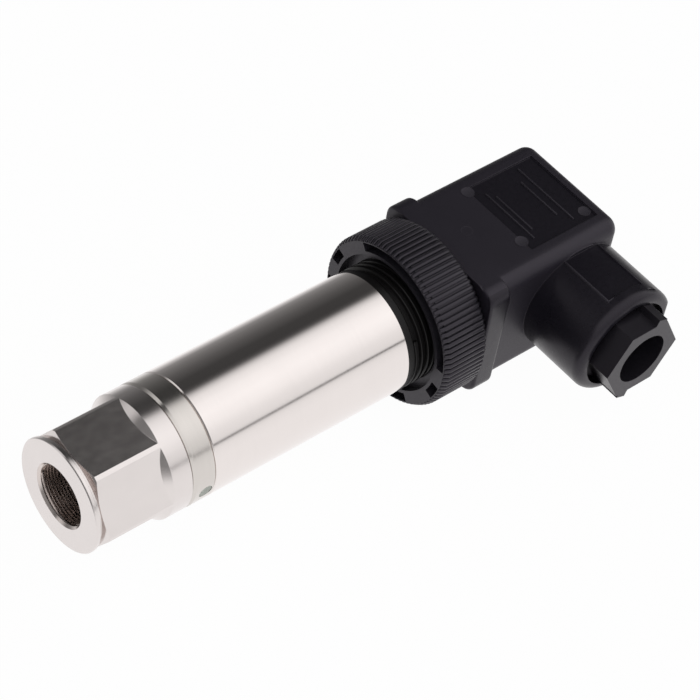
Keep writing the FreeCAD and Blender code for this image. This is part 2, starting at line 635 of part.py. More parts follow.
def make_retaining_ring():
    """Split ring in the hub's groove."""
    start = HUB_START + " + ring_groove_start + sliding_gap/2"
    ring = washer("snap_ring", start, "ring_width", "hub_radius - ring_groove_depth + running_gap",
                  "hub_radius - ring_groove_depth + running_gap + ring_rim")
    pocket(ring, "YZ_Plane", rectangle("-ring_gap/2", "-nut_radius", "ring_gap/2", "-hub_radius/2"),
           start, "ring_width", forward=True)
    keep(ring, "retaining_ring")


def make_gland():
    """Grommet, thrust washer and hexagonal gland nut, all about the arm's axis."""
    arm_x = HUB_START + " + arm_station"
    seat = "(box_half + arm_reach - gland_seat)"
    grommet = new_body("grommet")
    pad(grommet, "XZ_Plane", circle("0", "0", "seal_radius - running_gap"),
        seat + " - seal_length + face_gap", "seal_length - face_gap*2")
    pocket(grommet, "XZ_Plane", circle("0", "0", "seal_bore"), seat, "seal_length + overcut")
    keep(move(grommet, arm_x), "gland_seal")
    thrust = new_body("thrust")
    pad(thrust, "XZ_Plane", circle("0", "0", "gland_radius - sliding_gap"), seat, "washer_length")
    pocket(thrust, "XZ_Plane", circle("0", "0", "washer_bore"), seat + " + washer_length",
           "washer_length + overcut")
    keep(move(thrust, arm_x), "gland_washer")
    shank = "(box_half + arm_reach - gland_seat + washer_length + face_gap)"
    head = "(box_half + arm_reach - gland_seat + washer_length + face_gap + gland_shank)"
    corner, half_corner = "gland_hex/sqrt(3)", "gland_hex/(2*sqrt(3))"
    nut = new_body("gland_screw")
    pad(nut, "XZ_Plane", circle("0", "0", "gland_radius - running_gap"), shank, "gland_shank")
    pad(nut, "XZ_Plane", polygon(
        (corner, "0"), (half_corner, "gland_hex/2"), ("-" + half_corner, "gland_hex/2"),
        ("-" + corner, "0"), ("-" + half_corner, "-gland_hex/2"), (half_corner, "-gland_hex/2")),
        head, "gland_head")
    for side in ("", "-"):
        pad(nut, "XZ_Plane", polygon(*[
            (side + "(%s*cos(wing_turn) %s wing_width/2*sin(wing_turn))" % (reach, sign),
             side + "(%s*sin(wing_turn) %s wing_width/2*cos(wing_turn))" % (reach, other))
            for reach, sign, other in (("wing_root", "+", "-"), ("wing_radius", "+", "-"),
                                       ("wing_radius", "-", "+"), ("wing_root", "-", "+"))]),
            head, "gland_head")
    pocket(nut, "XZ_Plane", circle("0", "0", "gland_bore"), head + " + gland_head",
           "gland_shank + gland_head + overcut")
    keep(move(nut, arm_x), "gland_nut")


# ---- contact insert ----

def make_insert():
    """Gasket, insulating block, four sockets and their clamping screws."""
    gasket = washer("gasket", NECK_END + " + face_gap", "gasket_thickness", "block_hollow",
                    "hub_bore - sliding_gap")
    window = pocket(gasket, "YZ_Plane",
                    rectangle("-(blade_width/2 + sliding_gap)", "contact_radius - gasket_window/2",
                              "blade_width/2 + sliding_gap", "contact_radius + gasket_window/2"),
                    NECK_END, "gasket_thickness + overcut", forward=True)
    around(gasket, [window], 4)
    keep(gasket, "profile_seal")

    end = "(" + BLOCK_START + " + block_length)"
    block = turned("insulator", (BLOCK_START, "0"), (BLOCK_START, "block_radius"), (end, "block_radius"),
                   (end, "block_hollow"), (end + " - block_hollow_depth", "block_hollow"),
                   (end + " - block_hollow_depth", "0"))
    nest = pocket(block, "YZ_Plane",
                  rectangle("-(socket_width/2 + sliding_gap)", "socket_inner - sliding_gap",
                            "socket_width/2 + sliding_gap", "socket_outer + sliding_gap"),
                  end, "block_length - block_front")
    slot = pocket(block, "YZ_Plane",
                  rectangle("-(blade_width/2 + sliding_gap)",
                            "contact_radius - blade_thickness/2 - sliding_gap",
                            "blade_width/2 + sliding_gap",
                            "contact_radius + blade_thickness/2 + sliding_gap"),
                  BLOCK_START, "block_front + overcut", forward=True)
    access = pocket(block, "XY_Plane",
                    circle(BLOCK_START + " + block_front + sliding_gap + screw_station", "0",
                           "screw_head_radius + driver_gap"),
                    "socket_outer", "block_radius", forward=True)
    around(block, [nest, slot, access], 4)
    keep(block, "terminal_block")
    labels = {"contact_blade_1": "contact_socket_1", "contact_blade_2": "contact_socket_2",
              "contact_blade_3": "contact_socket_3", "earth_blade": "earth_socket"}
    for number, (blade, socket) in enumerate(labels.items(), start=1):
        make_socket(socket, CONTACT_TURNS[blade])
        make_screw("terminal_screw_%d" % number, CONTACT_TURNS[blade])


def make_socket(label, turn):
    """Brass socket: a slot for the blade in front, a wire hole and a screw hole behind."""
    blank = box("socket_blank", "0", "-socket_width/2", "socket_inner", "socket_length",
                "socket_width", "socket_outer - socket_inner")
    slot = box("blade_slot", "-overcut", "-(blade_width/2 + running_gap)",
               "contact_radius - blade_thickness/2 - running_gap", "socket_slot_depth + overcut",
               "blade_width + 2*running_gap", "blade_thickness + 2*running_gap")
    wire = rod("wire_hole", "socket_length - wire_depth", "0", "wire_station", "wire_radius",
               "wire_depth + overcut", (1, 0, 0))
    hole = rod("screw_hole", "screw_station", "0", "wire_station", "screw_radius + running_gap",
               "socket_outer - wire_station + overcut", (0, 0, 1))
    cut = minus("socket_cut", blank, joined("socket_holes", slot, wire, hole))
    keep(move(cut, BLOCK_START + " + block_front + sliding_gap", turn=str(turn - 90)), label)


def make_screw(label, turn):
    """Slotted clamping screw that enters its socket from the rim."""
    shank = rod("screw_shank", "0", "0", "wire_station + wire_radius", "screw_radius",
                "socket_outer - wire_station - wire_radius + face_gap", (0, 0, 1))
    head = rod("screw_head", "0", "0", "socket_outer + face_gap", "screw_head_radius",
               "screw_head_height", (0, 0, 1))
    slot = box("screw_slot_cut", "-screw_head_radius - overcut", "-screw_slot/2",
               "socket_outer + face_gap + screw_head_height - screw_slot_depth",
               "2*(screw_head_radius + overcut)", "screw_slot", "screw_slot_depth + overcut")
    screw = minus("screw_cut", joined("screw_blank", shank, head), slot)
    keep(move(screw, BLOCK_START + " + block_front + sliding_gap + screw_station",
              turn=str(turn - 90)), label)


def check_and_export():
    """Stops on any failed object or bad shape, then writes one file per sub-part."""
    doc.recompute()
    failed = [item.Label for item in doc.Objects if {"Invalid", "Error"} & set(item.State)]
    failed += [piece.Label for piece in pieces if piece.Shape.isNull() or not piece.Shape.isValid()]
    if failed:
        sys.exit("failed: " + ", ".join(failed))
    os.makedirs("parts", exist_ok=True)
    for piece in pieces:
        piece.Shape.exportStep("parts/%s.step" % piece.Label)
        print("%-20s solids %d  volume %9.2f" % (piece.Label, len(piece.Shape.Solids), piece.Shape.Volume))


make_port()
make_collar()
make_tube()
make_cell()
make_electronics()
make_neck()
make_union_nut()
make_plug_housing()
make_retaining_ring()
make_gland()
make_insert()
check_and_export()
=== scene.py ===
import math

import bpy
from mathutils import Matrix, Vector


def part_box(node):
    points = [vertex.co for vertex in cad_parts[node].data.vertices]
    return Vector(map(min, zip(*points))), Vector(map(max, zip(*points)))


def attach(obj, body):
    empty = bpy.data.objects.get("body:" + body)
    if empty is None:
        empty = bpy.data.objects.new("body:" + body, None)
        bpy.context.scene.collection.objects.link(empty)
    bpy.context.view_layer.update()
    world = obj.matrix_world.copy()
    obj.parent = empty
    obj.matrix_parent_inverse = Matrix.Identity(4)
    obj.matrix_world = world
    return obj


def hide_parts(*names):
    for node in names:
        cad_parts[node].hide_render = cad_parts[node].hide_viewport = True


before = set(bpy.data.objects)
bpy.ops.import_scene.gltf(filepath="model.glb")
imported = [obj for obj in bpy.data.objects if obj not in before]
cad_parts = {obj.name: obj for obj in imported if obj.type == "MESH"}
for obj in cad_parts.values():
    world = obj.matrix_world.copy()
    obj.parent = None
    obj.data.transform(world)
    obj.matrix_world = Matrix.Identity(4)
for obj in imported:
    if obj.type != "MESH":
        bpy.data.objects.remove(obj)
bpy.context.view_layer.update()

MM = 0.001
AXIS = (1.0, 0.0, 0.0)


# ---- camera, light and floor ----

def set_camera():
    """A long lens from the port end, above and to the gland's side."""
    lens = bpy.data.cameras.new("camera")
    lens.sensor_width = 36.0
    lens.lens = 143.68
    camera = bpy.data.objects.new("camera", lens)
    bpy.context.scene.collection.objects.link(camera)
    right = Vector((0.7614, -0.6354, 0.1287))
    up = Vector((0.4068, 0.6228, 0.6684))
    back = Vector((-0.5048, -0.4565, 0.7326))
    place = Matrix((right, up, back)).transposed().to_4x4()
    place.translation = Vector((-199.018, -241.351, 384.624)) * MM
    camera.matrix_world = place
    bpy.context.scene.camera = camera


# Brightness of the room by the direction's angle round the X axis, in degrees from +Y: white
# table below, dark room behind, wide soft box overhead with a gap at its edge.
ROOM = (
    (-60, 1.0), (-40, 0.98), (-26, 0.58), (-14, 0.28), (0, 0.19), (20, 0.11), (40, 0.056),
    (57, 0.052), (63, 0.085), (66.5, 0.22), (70, 0.48), (74, 0.76), (80, 0.98), (94, 1.14),
    (112, 1.20), (130, 1.12), (145, 0.98), (158, 0.91), (162.6, 0.89), (164.2, 0.06), (165.8, 0.06), (167.3, 0.84),
    (174, 0.97), (190, 1.02), (240, 1.03), (280, 1.02), (300, 1.0))


def light_the_room():
    """A room that is white all round except for the dark side behind the part."""
    world = bpy.data.worlds.new("room")
    bpy.context.scene.world = world
    world.use_nodes = True
    nodes, links = world.node_tree.nodes, world.node_tree.links
    nodes.clear()
    place = nodes.new("ShaderNodeTexCoord")
    split = nodes.new("ShaderNodeSeparateXYZ")
    links.new(place.outputs["Generated"], split.inputs[0])
    turn = nodes.new("ShaderNodeMath")
    turn.operation = "ARCTAN2"
    links.new(split.outputs["Z"], turn.inputs[0])
    links.new(split.outputs["Y"], turn.inputs[1])
    lean = nodes.new("ShaderNodeMapRange")
    lean.inputs["From Min"].default_value = 0.41
    lean.inputs["From Max"].default_value = 0.51
    lean.inputs["To Min"].default_value = math.radians(7.0)
    lean.inputs["To Max"].default_value = 0.0
    links.new(split.outputs["X"], lean.inputs["Value"])
    turned = nodes.new("ShaderNodeMath")
    turned.operation = "SUBTRACT"
    links.new(turn.outputs[0], turned.inputs[0])
    links.new(lean.outputs["Result"], turned.inputs[1])
    wrap = nodes.new("ShaderNodeMath")
    wrap.operation = "WRAP"
    low, high = ROOM[0][0], ROOM[-1][0]
    wrap.inputs[1].default_value = math.radians(high)
    wrap.inputs[2].default_value = math.radians(low)
    links.new(turned.outputs[0], wrap.inputs[0])
    share = nodes.new("ShaderNodeMapRange")
    share.inputs["From Min"].default_value = math.radians(low)
    share.inputs["From Max"].default_value = math.radians(high)
    links.new(wrap.outputs[0], share.inputs["Value"])
    ramp = nodes.new("ShaderNodeValToRGB")
    stops = ramp.color_ramp.elements
    stops.remove(stops[0])
    for number, (angle, level) in enumerate(ROOM):
        where = (angle - low) / (high - low)
        stop = stops[0] if number == 0 else stops.new(where)
        stop.position = where
        stop.color = (level, level * 0.985, level * 0.985, 1.0)
    links.new(share.outputs["Result"], ramp.inputs["Fac"])

    def between(source, start, end):
        """How far a direction is past start on its way to end, eased at both."""
        part = nodes.new("ShaderNodeMapRange")
        part.interpolation_type = "SMOOTHSTEP"
        part.inputs["From Min"].default_value = start
        part.inputs["From Max"].default_value = end
        links.new(split.outputs[source], part.inputs["Value"])
        return part.outputs["Result"]

    def hang(share, behind, level):
        """A panel of one level over part of the room."""
        panel = nodes.new("ShaderNodeMix")
        panel.data_type = "RGBA"
        links.new(share, panel.inputs["Factor"])
        links.new(behind, panel.inputs["A"])
        panel.inputs["B"].default_value = (level, level * 0.985, level * 0.985, 1.0)
        return panel.outputs["Result"]

    window = nodes.new("ShaderNodeMath")
    window.operation = "MULTIPLY"
    links.new(between("X", -0.35, -0.62), window.inputs[0])
    links.new(between("Z", 0.10, 0.34), window.inputs[1])
    narrower = nodes.new("ShaderNodeMath")
    narrower.operation = "MULTIPLY"
    links.new(window.outputs[0], narrower.inputs[0])
    links.new(between("Y", 0.37, 0.45), narrower.inputs[1])
    walls = hang(narrower.outputs[0], ramp.outputs["Color"], 0.80)
    walls = hang(between("X", -0.75, -0.87), walls, 0.22)
    seen = nodes.new("ShaderNodeLightPath")
    room = nodes.new("ShaderNodeBackground")
    links.new(walls, room.inputs["Color"])
    backdrop = nodes.new("ShaderNodeBackground")
    backdrop.inputs["Color"].default_value = (1.0, 1.0, 1.0, 1.0)
    choice = nodes.new("ShaderNodeMixShader")
    links.new(seen.outputs["Is Camera Ray"], choice.inputs["Fac"])
    links.new(room.outputs[0], choice.inputs[1])
    links.new(backdrop.outputs[0], choice.inputs[2])
    out = nodes.new("ShaderNodeOutputWorld")
    links.new(choice.outputs[0], out.inputs["Surface"])


def lay_floor():
    """A wide pale table under the ring nut that shows the shadow faintly."""
    bpy.ops.object.select_all(action="DESELECT")
    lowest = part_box("union_nut")[0].z
    bpy.ops.mesh.primitive_plane_add(size=3.0, location=(0.06, 0.0, lowest - 0.0002))
    floor = bpy.context.active_object
    floor.name = "table"
    material = bpy.data.materials.new("table_top")
    material.use_nodes = True
    nodes, links = material.node_tree.nodes, material.node_tree.links
    nodes.clear()
    seen = nodes.new("ShaderNodeLightPath")
    paint = nodes.new("ShaderNodeBsdfDiffuse")
    paint.inputs["Color"].default_value = (0.88, 0.88, 0.88, 1.0)
    glow = nodes.new("ShaderNodeEmission")
    glow.inputs["Color"].default_value = (1.0, 1.0, 1.0, 1.0)
    either = nodes.new("ShaderNodeMath")
    either.operation = "MAXIMUM"
    links.new(seen.outputs["Is Camera Ray"], either.inputs[0])
    links.new(seen.outputs["Is Transmission Ray"], either.inputs[1])
    share = nodes.new("ShaderNodeMath")
    share.operation = "MULTIPLY"
    share.inputs[1].default_value = 0.975
    links.new(either.outputs[0], share.inputs[0])
    mix = nodes.new("ShaderNodeMixShader")
    links.new(share.outputs[0], mix.inputs["Fac"])
    links.new(paint.outputs[0], mix.inputs[1])
    links.new(glow.outputs[0], mix.inputs[2])
    out = nodes.new("ShaderNodeOutputMaterial")
    links.new(mix.outputs[0], out.inputs["Surface"])
    floor.data.materials.append(material)
    floor.visible_glossy = False


# ---- finishes ----

def finish(name, colour, metal=0.0, rough=0.4, spread=0.1, grain=(400.0, 400.0, 400.0), bump=0.0,
           rough_spread=0.1, edge=0.0, level=0.5, coat=0.0, tint=(1.0, 1.0, 1.0)):
    """A surface whose colour, roughness and relief vary with a fine grain on the part's own axes.

    grain is in waves per metre along X, Y and Z, or one number for all three; bump and edge are metres.
    """
    if isinstance(grain, float):
        grain = (grain, grain, grain)
    material = bpy.data.materials.new(name)
    material.use_nodes = True
    nodes, links = material.node_tree.nodes, material.node_tree.links
    shader = nodes["Principled BSDF"]
    shader.inputs["Metallic"].default_value = metal
    shader.inputs["Specular IOR Level"].default_value = level
    shader.inputs["Specular Tint"].default_value = (*tint, 1.0)
    if coat:
        shader.inputs["Coat Weight"].default_value = coat
    place = nodes.new("ShaderNodeTexCoord")
    stretch = nodes.new("ShaderNodeMapping")
    stretch.inputs["Scale"].default_value = grain
    links.new(place.outputs["Object"], stretch.inputs["Vector"])
    noise = nodes.new("ShaderNodeTexNoise")
    noise.inputs["Scale"].default_value = 1.0
    noise.inputs["Detail"].default_value = 3.0
    links.new(stretch.outputs[0], noise.inputs["Vector"])
    cloud = nodes.new("ShaderNodeTexNoise")
    cloud.inputs["Scale"].default_value = 120.0
    cloud.inputs["Detail"].default_value = 2.0
    links.new(place.outputs["Object"], cloud.inputs["Vector"])
    tone = nodes.new("ShaderNodeValToRGB")
    tone.color_ramp.elements[0].position = 0.25
    tone.color_ramp.elements[1].position = 0.75
    tone.color_ramp.elements[0].color = (*[c * (1 - spread) for c in colour], 1.0)
    tone.color_ramp.elements[1].color = (*[min(1.0, c * (1 + spread)) for c in colour], 1.0)
    blend = nodes.new("ShaderNodeMix")
    blend.inputs["Factor"].default_value = 0.5
    links.new(noise.outputs["Fac"], blend.inputs["A"])
    links.new(cloud.outputs["Fac"], blend.inputs["B"])
    links.new(blend.outputs["Result"], tone.inputs["Fac"])
    links.new(tone.outputs["Color"], shader.inputs["Base Color"])
    gloss = nodes.new("ShaderNodeMapRange")
    gloss.inputs["From Min"].default_value = 0.25
    gloss.inputs["From Max"].default_value = 0.75
    gloss.inputs["To Min"].default_value = rough * (1 - rough_spread)
    gloss.inputs["To Max"].default_value = rough * (1 + rough_spread)
    links.new(noise.outputs["Fac"], gloss.inputs["Value"])
    links.new(gloss.outputs["Result"], shader.inputs["Roughness"])
    normal = None
    if edge:
        bevel = nodes.new("ShaderNodeBevel")
        bevel.samples = 6
        bevel.inputs["Radius"].default_value = edge
        normal = bevel.outputs["Normal"]
    if bump:
        relief = nodes.new("ShaderNodeBump")
        relief.inputs["Strength"].default_value = 1.0
        relief.inputs["Distance"].default_value = bump
        links.new(noise.outputs["Fac"], relief.inputs["Height"])
        if normal:
            links.new(normal, relief.inputs["Normal"])
        normal = relief.outputs["Normal"]
    if normal:
        links.new(normal, shader.inputs["Normal"])
    return material


STEEL = (0.80, 0.755, 0.735)
# Darker black for the panel and the cable arm: painted shade, not the plastic's own colour.
PAINTED_SHADE_BLACK = (0.0084, 0.0076, 0.0112)
SHEEN = (0.95, 0.88, 1.0)
turned_steel = finish("turned_steel", STEEL, 1.0, 0.10, 0.02, (2600.0, 90.0, 90.0), 2e-7, 0.12)
ring_steel = finish("ring_steel", (0.65, 0.62, 0.59), 1.0, 0.17, 0.04, (3000.0, 90.0, 90.0), 5e-7, 0.15, 8e-5)
milled_steel = finish("milled_steel", (0.74, 0.70, 0.685), 1.0, 0.175, 0.03, (350.0, 700.0, 700.0), 4e-7, 0.15, 1.1e-4)
thread_steel = finish("thread_steel", (0.66, 0.60, 0.57), 1.0, 0.21, 0.08, (2600.0, 300.0, 300.0), 5e-7, 0.15)
cell_steel = finish("cell_steel", (0.72, 0.71, 0.70), 1.0, 0.22, 0.05, 1200.0, 4e-7)
membrane = finish("vent_membrane", (0.36, 0.39, 0.35), 0.35, 0.45, 0.25, 5200.0, 6e-6)
housing_black = finish("housing_black", (0.0140, 0.0126, 0.0180), 0.0, 0.44, 0.14, 2600.0, 1.8e-6, 0.12,
                       2.2e-4, 0.42, tint=SHEEN)
# Smoother black for the panel and the arm; its darker colour and lower specular level are painted shade.
polished_black_with_painted_shade = finish("polished_black_with_painted_shade", PAINTED_SHADE_BLACK, 0.0, 0.30, 0.12, 1200.0, 8e-7, 0.12, 2.2e-4, 0.34, tint=SHEEN)
matt_black = finish("matt_black", (0.0215, 0.0200, 0.0260), 0.0, 0.62, 0.12, 2600.0, 1.6e-6, 0.12, tint=SHEEN)
nut_black = finish("nut_black", (0.0150, 0.0142, 0.0182), 0.0, 0.40, 0.14, 2200.0, 1.2e-6, 0.12, level=0.45, tint=SHEEN)
neck_black = finish("neck_black", (0.0050, 0.0046, 0.0048), 0.0, 0.32, 0.14, 1800.0, 1.0e-6, level=0.24)
gland_black = finish("gland_black", (0.0092, 0.0085, 0.0112), 0.0, 0.36, 0.14, 2400.0, 1.6e-6, 0.12,
                     1.5e-4, 0.45, tint=SHEEN)
insert_grey = finish("insert_grey", (0.055, 0.055, 0.058), 0.0, 0.48, 0.15, 2000.0, 1.5e-6)
seal_rubber = finish("seal_rubber", (0.012, 0.012, 0.012), 0.0, 0.66, 0.2, 1500.0, 3e-6, level=0.3)
carrier_cream = finish("carrier_cream", (0.58, 0.56, 0.49), 0.0, 0.5, 0.06, 1400.0, 1e-6)
board_green = finish("board_green", (0.012, 0.105, 0.035), 0.0, 0.32, 0.3, (260.0, 900.0, 900.0), 1.5e-6, coat=0.4)
epoxy_black = finish("epoxy_black", (0.014, 0.014, 0.015), 0.0, 0.55, 0.2, 3000.0, 3e-6)
tantalum_amber = finish("tantalum_amber", (0.60, 0.30, 0.04), 0.0, 0.4, 0.1, 1500.0, 1e-6)
silicon_dark = finish("silicon_dark", (0.10, 0.11, 0.15), 0.7, 0.12, 0.15, 4000.0)
gold_plate = finish("gold_plate", (0.80, 0.58, 0.22), 1.0, 0.2, 0.06, 900.0, 3e-7)
copper_wire = finish("copper_wire", (0.72, 0.36, 0.20), 1.0, 0.28, 0.1, (300.0, 2500.0, 2500.0), 8e-7)
tinned_brass = finish("tinned_brass", (0.66, 0.63, 0.56), 1.0, 0.26, 0.06, (1000.0, 400.0, 400.0), 6e-7)
socket_brass = finish("socket_brass", (0.74, 0.55, 0.25), 1.0, 0.25, 0.08, (1200.0, 500.0, 500.0), 8e-7)
spring_steel = finish("spring_steel", (0.42, 0.42, 0.43), 1.0, 0.3, 0.08, 1500.0, 6e-7)
screw_zinc = finish("screw_zinc", (0.66, 0.66, 0.63), 1.0, 0.27, 0.08, 1800.0, 8e-7)

NODE_FINISHES = {
    "port_body": milled_steel, "sensor_collar": ring_steel, "body_tube": turned_steel,
    "vent_filter": membrane, "sensor_header": cell_steel, "diaphragm": cell_steel,
    "fill_ball": cell_steel, "capsule_retainer": cell_steel, "sensor_chip": silicon_dark,
    "capsule_seal": seal_rubber, "neck_seal": seal_rubber, "gland_seal": seal_rubber,
    "profile_seal": seal_rubber, "board_carrier": carrier_cream, "circuit_board": board_green,
    "converter_chip": epoxy_black, "regulator_chip": epoxy_black, "surge_diode": epoxy_black,
    "tantalum_capacitor": tantalum_amber, "threaded_neck": neck_black, "union_nut": nut_black,
    "plug_housing": housing_black, "gland_nut": gland_black, "gland_washer": insert_grey,
    "terminal_block": insert_grey, "retaining_ring": spring_steel,
}
for prefix, material in (("header_pin", gold_plate), ("sensor_lead", copper_wire),
                         ("output_lead", copper_wire), ("earth_lead", copper_wire),
                         ("contact_blade", tinned_brass), ("earth_blade", tinned_brass),
                         ("contact_socket", socket_brass), ("earth_socket", socket_brass),
                         ("terminal_screw", screw_zinc)):
    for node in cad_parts:
        if node.startswith(prefix):
            NODE_FINISHES[node] = material
for node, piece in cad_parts.items():
    piece.data.materials.clear()
    piece.data.materials.append(NODE_FINISHES[node])


# ---- modelling steps ----

def only(piece):
    bpy.ops.object.select_all(action="DESELECT")
    piece.select_set(True)
    bpy.context.view_layer.objects.active = piece


def open_mesh(piece, kind="VERT"):
    """Edit mode on one piece with all of it selected."""
    only(piece)
    bpy.ops.object.mode_set(mode="EDIT")
    bpy.ops.mesh.select_mode(type=kind)
    bpy.ops.mesh.select_all(action="SELECT")


def pick(piece, wanted, kind="VERT"):
    """Edit mode on one piece with the vertices or faces that wanted picks selected."""
    open_mesh(piece, kind)
    bpy.ops.mesh.select_all(action="DESELECT")
    bpy.ops.object.mode_set(mode="OBJECT")
    for item in piece.data.vertices if kind == "VERT" else piece.data.polygons:
        item.select = wanted(item)
    bpy.ops.object.mode_set(mode="EDIT")


def close_mesh():
    """Back out of edit mode."""
    bpy.ops.object.mode_set(mode="OBJECT")


def face_outwards(piece):
    open_mesh(piece)
    bpy.ops.mesh.remove_doubles(threshold=2e-7)
    bpy.ops.mesh.normals_make_consistent(inside=False)
    close_mesh()


def settle(piece):
    """Puts the piece's place into its mesh."""
    only(piece)
    bpy.ops.object.transform_apply(location=True, rotation=True, scale=True)


def apply_all(piece):
    only(piece)
    for modifier in list(piece.modifiers):
        bpy.ops.object.modifier_apply(modifier=modifier.name)


def outline(name, corners):
    """A closed line through (station, radius) corners in millimetres, in the XY plane."""
    bpy.ops.object.select_all(action="DESELECT")
    start = Vector((*corners[0], 0.0)) * MM
    bpy.ops.mesh.primitive_plane_add(size=MM, location=start)
    piece = bpy.context.active_object
    piece.name = name
    open_mesh(piece)
    bpy.ops.mesh.merge(type="CENTER")
    for (x, r), (next_x, next_r) in zip(corners, corners[1:] + corners[:1]):
        step = ((next_x - x) * MM, (next_r - r) * MM, 0.0)
        bpy.ops.mesh.extrude_vertices_move(TRANSFORM_OT_translate={"value": step})
    bpy.ops.mesh.select_all(action="SELECT")
    bpy.ops.mesh.remove_doubles(threshold=2e-7)
    close_mesh()
    settle(piece)
    return piece


def turn_round(piece, steps, turns=1.0, pitch=0.0):
    """Turns an outline about the X axis, once, or along a right-hand thread of a pitch in millimetres."""
    screw = piece.modifiers.new("turning", "SCREW")
    screw.axis = "X"
    screw.steps = screw.render_steps = steps
    if pitch:
        screw.iterations = int(turns)
        screw.screw_offset = pitch * MM
    screw.use_merge_vertices = not pitch
    screw.merge_threshold = 2e-7
    apply_all(piece)
    if pitch:
        open_mesh(piece)
        bpy.ops.mesh.select_all(action="DESELECT")
        bpy.ops.mesh.select_non_manifold()
        bpy.ops.mesh.fill_holes(sides=0)
        close_mesh()
    face_outwards(piece)
    return piece


def slide_points(piece, wanted, move):
    """Moves the picked vertices by a function of their place."""
    for vertex in piece.data.vertices:
        if wanted(vertex.co):
            vertex.co = move(vertex.co)


def round_edges(piece, width, steps=2, sharp=30.0):
    bevel = piece.modifiers.new("edges", "BEVEL")
    bevel.width = width * MM
    bevel.segments = steps
    bevel.limit_method = "ANGLE"
    bevel.angle_limit = math.radians(sharp)
    bevel.use_clamp_overlap = True
    apply_all(piece)


def smooth(piece, angle=35.0):
    only(piece)
    bpy.ops.object.shade_smooth_by_angle(angle=math.radians(angle))


def join(name, *parts):
    bpy.ops.object.select_all(action="DESELECT")
    for part in parts:
        part.select_set(True)
    bpy.context.view_layer.objects.active = parts[0]
    bpy.ops.object.join()
    parts[0].name = name
    return parts[0]


def copy_node(node, name):
    """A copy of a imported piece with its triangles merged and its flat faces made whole."""
    piece = bpy.data.objects.new(name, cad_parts[node].data.copy())
    bpy.context.scene.collection.objects.link(piece)
    open_mesh(piece)
    bpy.ops.mesh.customdata_custom_splitnormals_clear()
    bpy.ops.mesh.remove_doubles(threshold=2e-7)
    bpy.ops.mesh.dissolve_limited(angle_limit=math.radians(0.4))
    close_mesh()
    return piece


def dress(piece, material, body):
    piece.data.materials.clear()
    piece.data.materials.append(material)
    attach(piece, body)
    return piece


# ---- port thread ----

def make_port_thread():
    """Fine ridges on the bore's wall and the turned lead-in at its mouth."""
    bore, crest, pitch = 6.60, 6.02, 0.6685
    ridge = outline("port_ridge", [(0.50, bore), (0.60, crest), (0.88, crest + 0.06), (1.12, bore)])
    turn_round(ridge, 72, 16, pitch)
    lead_in = outline("port_lead_in", [(0.01, bore), (0.01, bore - 0.06), (0.08, bore - 0.12),
                                       (0.46, crest + 0.08), (0.58, bore)])
    turn_round(lead_in, 96)
    piece = join("port_thread", ridge, lead_in)
    smooth(piece, 25.0)
    return dress(piece, thread_steel, "base")


# ---- port body and collar ----

def make_port_body():
    """The port with its flats ending in short steep slopes before the ring."""
    piece = copy_node("port_body", "milled_port")
    turn, flat, slope_centre, slope_radius, shallow, steep = math.radians(4.0), 11.0, 30.55, 15.7, 2.03, 0.9
    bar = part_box("port_body")[1].y / MM

    def on_flat(place):
        """How high a place is over the nearest flat, and how far it is aside of the flat's middle."""
        around = (math.atan2(-place.y, place.z) - turn + math.pi / 6) % (math.pi / 3) - math.pi / 6
        reach = math.hypot(place.y, place.z) / MM
        return reach * math.cos(around) - flat, reach * math.sin(around)

    def slope_station(rise, aside, steepness):
        return slope_centre - math.sqrt((slope_radius - steepness * rise) ** 2 - aside ** 2)

    def on_slope(place):
        rise, aside = on_flat(place)
        return (14.8 * MM < place.x < 18.3 * MM and rise > 0.01
                and abs(place.x / MM - slope_station(rise, aside, shallow)) < 0.06)

    def steeper(place):
        return Vector((slope_station(*on_flat(place), steep) * MM, place.y, place.z))

    seam_start, seam_end, seam_floor, deeper_floor = 20.2, 20.65, bar - 0.35, 11.3

    def on_seam(place):
        return (seam_start * MM < place.x < seam_end * MM
                and abs(math.hypot(place.y, place.z) - seam_floor * MM) < 0.03 * MM)

    def deeper(place):
        return Vector((place.x, place.y * deeper_floor / seam_floor, place.z * deeper_floor / seam_floor))

    slide_points(piece, on_slope, steeper)
    slide_points(piece, on_seam, deeper)
    smooth(piece, 20.0)
    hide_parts("port_body")
    return dress(piece, milled_steel, "base")


def make_collar():
    """The collar with the broad bright edges that its turning leaves."""
    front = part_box("sensor_collar")[0].x / MM
    piece = copy_node("sensor_collar", "turned_collar")
    for station, radius, to_station, to_radius in ((0.0, 12.3, 0.0, 12.08), (0.2, 12.5, 0.55, 12.5),
                                                   (4.8, 12.5, 4.65, 12.5), (5.0, 12.3, 5.0, 12.2)):
        def on_edge(place):
            return (abs(place.x - (front + station) * MM) < 0.01 * MM
                    and abs(math.hypot(place.y, place.z) - radius * MM) < 0.02 * MM)

        def to_edge(place):
            return Vector(((front + to_station) * MM, place.y * to_radius / radius, place.z * to_radius / radius))

        slide_points(piece, on_edge, to_edge)
    smooth(piece, 20.0)
    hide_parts("sensor_collar")
    return dress(piece, ring_steel, "base")


# ---- neck with its thread ----

